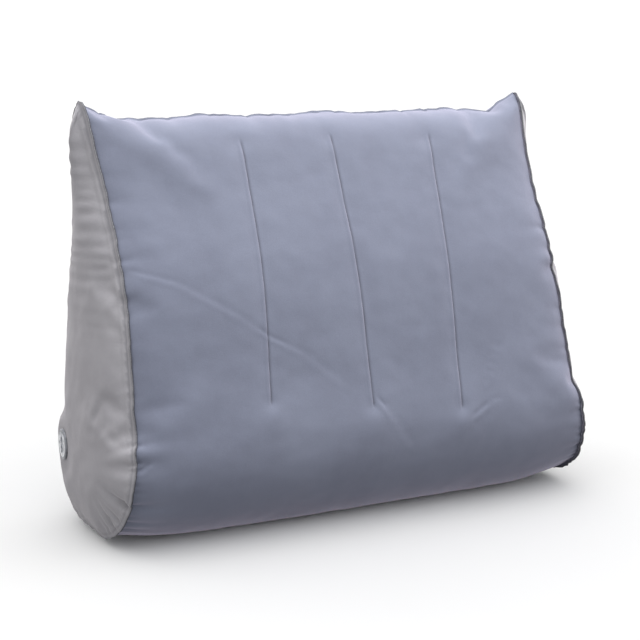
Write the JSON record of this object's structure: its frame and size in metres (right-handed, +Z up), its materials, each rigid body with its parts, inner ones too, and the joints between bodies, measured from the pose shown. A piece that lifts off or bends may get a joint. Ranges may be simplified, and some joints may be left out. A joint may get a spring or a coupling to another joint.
{
  "type": "inflatable wedge pillow",
  "caption": "Inflatable flocked wedge pillow for camping, with webbed air chamber, welded seams and a screw-in two-stage air valve on one end",
  "frame": {"origin": "on the floor, at the middle of the pillow's width and depth", "axes": "+Z up, +X to the right of a person facing the sloped front (the pillow's width), -Y is the side the sloped front faces"},
  "size_m": [0.5778, 0.2144, 0.4364],
  "materials": {
    "blue_flock": "short soft flock on PVC, blue-grey",
    "grey_flock": "short soft flock on PVC, warm grey",
    "inner_film": "plain PVC sheet",
    "valve_pvc": "soft moulded PVC, dark",
    "valve_plastic": "moulded grey plastic",
    "seal": "black seal rubber",
    "silicone": "translucent silicone"
  },
  "bodies": {
    "pillow": {"front_panel": "blue_flock", "back_panel": "blue_flock", "left_gusset": "grey_flock", "right_gusset": "grey_flock", "left_web": "inner_film", "centre_web": "inner_film", "right_web": "inner_film", "valve_base": "valve_pvc"},
    "gasket": {"insert_gasket": "seal"},
    "insert": {"valve_insert": "valve_plastic"},
    "flap": {"check_flap": "silicone"},
    "cap": {"valve_cap": "valve_plastic"}
  },
  "joints": [
    {"name": "insert_rise", "type": "slide", "parent": "pillow", "child": "gasket", "axis": [-0.9945, 0.1045, 0], "range_m": [0, 0.0045]},
    {"name": "insert_turn", "type": "hinge", "parent": "gasket", "child": "insert", "pos_m": [-0.28406, 0.05009, 0.086], "axis": [-0.9945, 0.1045, 0], "range_deg": [0, 540]},
    {"name": "flap_open", "type": "slide", "parent": "insert", "child": "flap", "axis": [0.9945, -0.1045, 0], "range_m": [0, 0.002], "stiffness_N_per_m": 5},
    {"name": "cap_flip", "type": "hinge", "parent": "insert", "child": "cap", "pos_m": [-0.28749, 0.05045, 0.0982], "axis": [0.1045, 0.9945, 0], "range_deg": [0, 160]}
  ],
  "couplings": [
    {"joint": "insert_rise", "follows": "insert_turn", "m_per_rad": 0.00047746}
  ]
}
